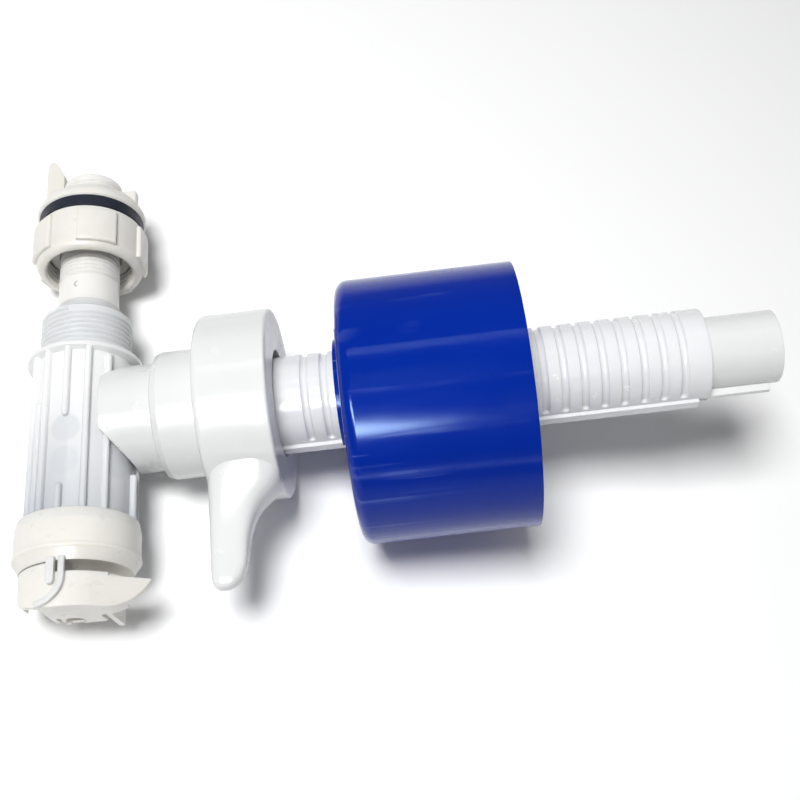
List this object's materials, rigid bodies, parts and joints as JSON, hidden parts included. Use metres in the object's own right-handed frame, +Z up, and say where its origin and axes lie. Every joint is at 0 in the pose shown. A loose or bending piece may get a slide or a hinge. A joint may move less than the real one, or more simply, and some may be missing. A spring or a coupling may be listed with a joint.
{
  "type": "toilet fill valve",
  "caption": "Side-inlet toilet tank fill valve with ribbed inlet barrel, locking collar, blue float on a grooved sleeve, down pipe and tank fitting.",
  "frame": {"origin": "middle of the large tank thread, on the inlet barrel axis", "axes": "+Y along the inlet barrel towards the supply end, +X towards the float end of the column, which leans up by 13.7 degrees, +Z up as the valve lies on a table"},
  "size_m": [0.1973, 0.1432, 0.0778],
  "materials": {
    "clear_pp": "translucent moulded plastic, satin with glossy rib crests",
    "natural_pp": "natural unpigmented plastic, slightly translucent and creamy",
    "white_plastic": "glossy opaque white moulded plastic with light scuffs",
    "sleeve_pp": "slightly translucent white moulded plastic",
    "blue_plastic": "deep blue glossy moulded plastic with fine scratches",
    "inner_acetal": "plain white engineering plastic",
    "filter_mesh": "fine woven plastic mesh",
    "black_rubber": "smooth dark rubber",
    "steel": "stainless spring wire and pin"
  },
  "bodies": {
    "valve_body": {"valve_barrel": "clear_pp", "filter_cage": "inner_acetal", "filter_screen": "filter_mesh", "inlet_seat": "black_rubber", "end_cap": "natural_pp", "cap_o_ring": "black_rubber", "cam_track": "clear_pp", "outlet_branch": "white_plastic", "branch_o_ring": "black_rubber", "valve_head": "white_plastic", "collar_clip": "steel", "servo_cup": "inner_acetal", "metering_pin": "steel", "lever_pin": "steel", "down_pipe": "white_plastic", "pipe_o_ring": "black_rubber"},
    "regulator_knob": {"regulator_knob": "natural_pp", "knob_clip": "steel"},
    "regulator_stem": {"regulator_stem": "inner_acetal", "stem_clip": "steel"},
    "servo_piston": {"servo_piston": "inner_acetal", "piston_ring": "black_rubber", "seat_washer": "black_rubber"},
    "pilot_lever": {"pilot_lever": "inner_acetal", "pilot_pad": "black_rubber"},
    "locking_collar": {"locking_collar": "white_plastic"},
    "float_sleeve": {"float_sleeve": "sleeve_pp"},
    "float": {"float_shell": "blue_plastic", "float_lid": "blue_plastic", "float_clip": "blue_plastic"},
    "lock_nut": {"lock_nut": "natural_pp"},
    "tank_seal": {"tank_seal": "black_rubber"},
    "tank_fitting": {"tank_fitting": "natural_pp"}
  },
  "joints": [
    {"name": "float_drop", "type": "slide", "parent": "valve_body", "child": "float_sleeve", "axis": [0.9715, 0, 0.2368], "range_m": [0, 0.006]},
    {"name": "float_height", "type": "slide", "parent": "float_sleeve", "child": "float", "axis": [0.9715, 0, 0.2368], "range_m": [-0.01022, 0.04088]},
    {"name": "pilot_lever_tilt", "type": "hinge", "parent": "valve_body", "child": "pilot_lever", "pos_m": [0.04119, -0.0045, 0.01004], "axis": [-0.2368, 0, 0.9715], "range_deg": [0, 12]},
    {"name": "piston_lift", "type": "slide", "parent": "valve_body", "child": "servo_piston", "axis": [0.9715, 0, 0.2368], "range_m": [0, 0.0015]},
    {"name": "collar_turn", "type": "hinge", "parent": "valve_body", "child": "locking_collar", "pos_m": [0.04372, -0.0247, 0.01066], "axis": [0.9715, 0, 0.2368], "range_deg": [-30, 0]},
    {"name": "knob_turn", "type": "hinge", "parent": "valve_body", "child": "regulator_knob", "pos_m": [0, -0.0697, 0], "axis": [0, 1, 0], "range_deg": [0, 60]},
    {"name": "stem_travel", "type": "slide", "parent": "valve_body", "child": "regulator_stem", "axis": [0, 1, 0], "range_m": [0, 0.004]},
    {"name": "lock_nut_run", "type": "slide", "parent": "valve_body", "child": "lock_nut", "axis": [0, 1, 0], "range_m": [-0.008, 0]},
    {"name": "seal_run", "type": "slide", "parent": "valve_body", "child": "tank_seal", "axis": [0, 1, 0], "range_m": [0, 0.00535]},
    {"name": "fitting_spin", "type": "hinge", "parent": "tank_seal", "child": "tank_fitting", "pos_m": [0, 0.0413, 0], "axis": [0, 1, 0], "range_deg": [0, 1440]}
  ],
  "couplings": [
    {"joint": "pilot_lever_tilt", "follows": "float_drop", "rad_per_m": 34.903},
    {"joint": "piston_lift", "follows": "float_drop", "ratio": 0.25},
    {"joint": "stem_travel", "follows": "knob_turn", "m_per_rad": 0.0038193},
    {"joint": "fitting_spin", "follows": "seal_run", "rad_per_m": 4699}
  ]
}
